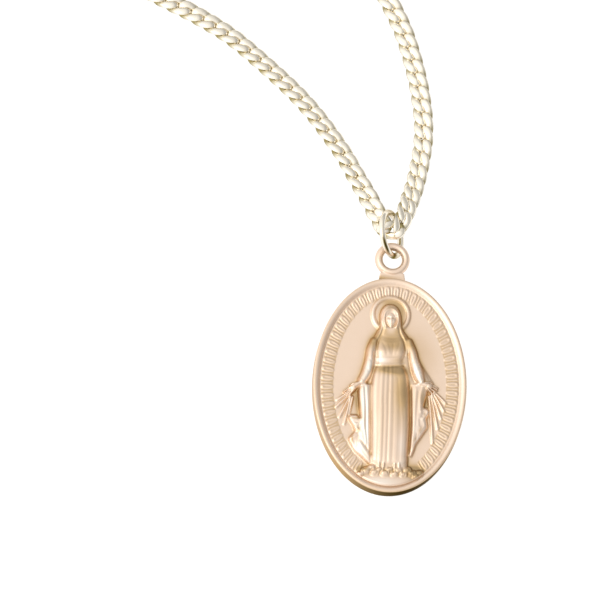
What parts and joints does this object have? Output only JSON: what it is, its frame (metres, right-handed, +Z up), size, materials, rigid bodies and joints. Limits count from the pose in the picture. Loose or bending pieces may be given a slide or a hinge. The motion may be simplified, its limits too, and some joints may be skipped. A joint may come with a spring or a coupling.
{
  "type": "religious medal pendant",
  "caption": "Oval devotional medal with a veiled standing figure in relief, a hanging loop and jump ring, on a closed curb chain laid flat with a spring ring clasp.",
  "frame": {"origin": "middle of the whole laid-out piece's box, on the surface that it lies on", "axes": "+Z up from the surface, medal face up; +Y from the medal's foot to its hanging loop, which is also the longest side; +X to the right of the figure as seen"},
  "size_m": [0.1544, 0.1826, 0.0044],
  "materials": {
    "medal_gold": "satin struck gold-filled metal, a little darker in the recesses",
    "ring_gold": "bright drawn gold-filled wire",
    "chain_gold": "bright polished gold-filled curb links"
  },
  "bodies": {
    "root": {"medal": "medal_gold", "jump_ring": "ring_gold", "chain": "chain_gold", "clasp": "ring_gold", "chain_end_ring": "ring_gold"}
  },
  "joints": []
}
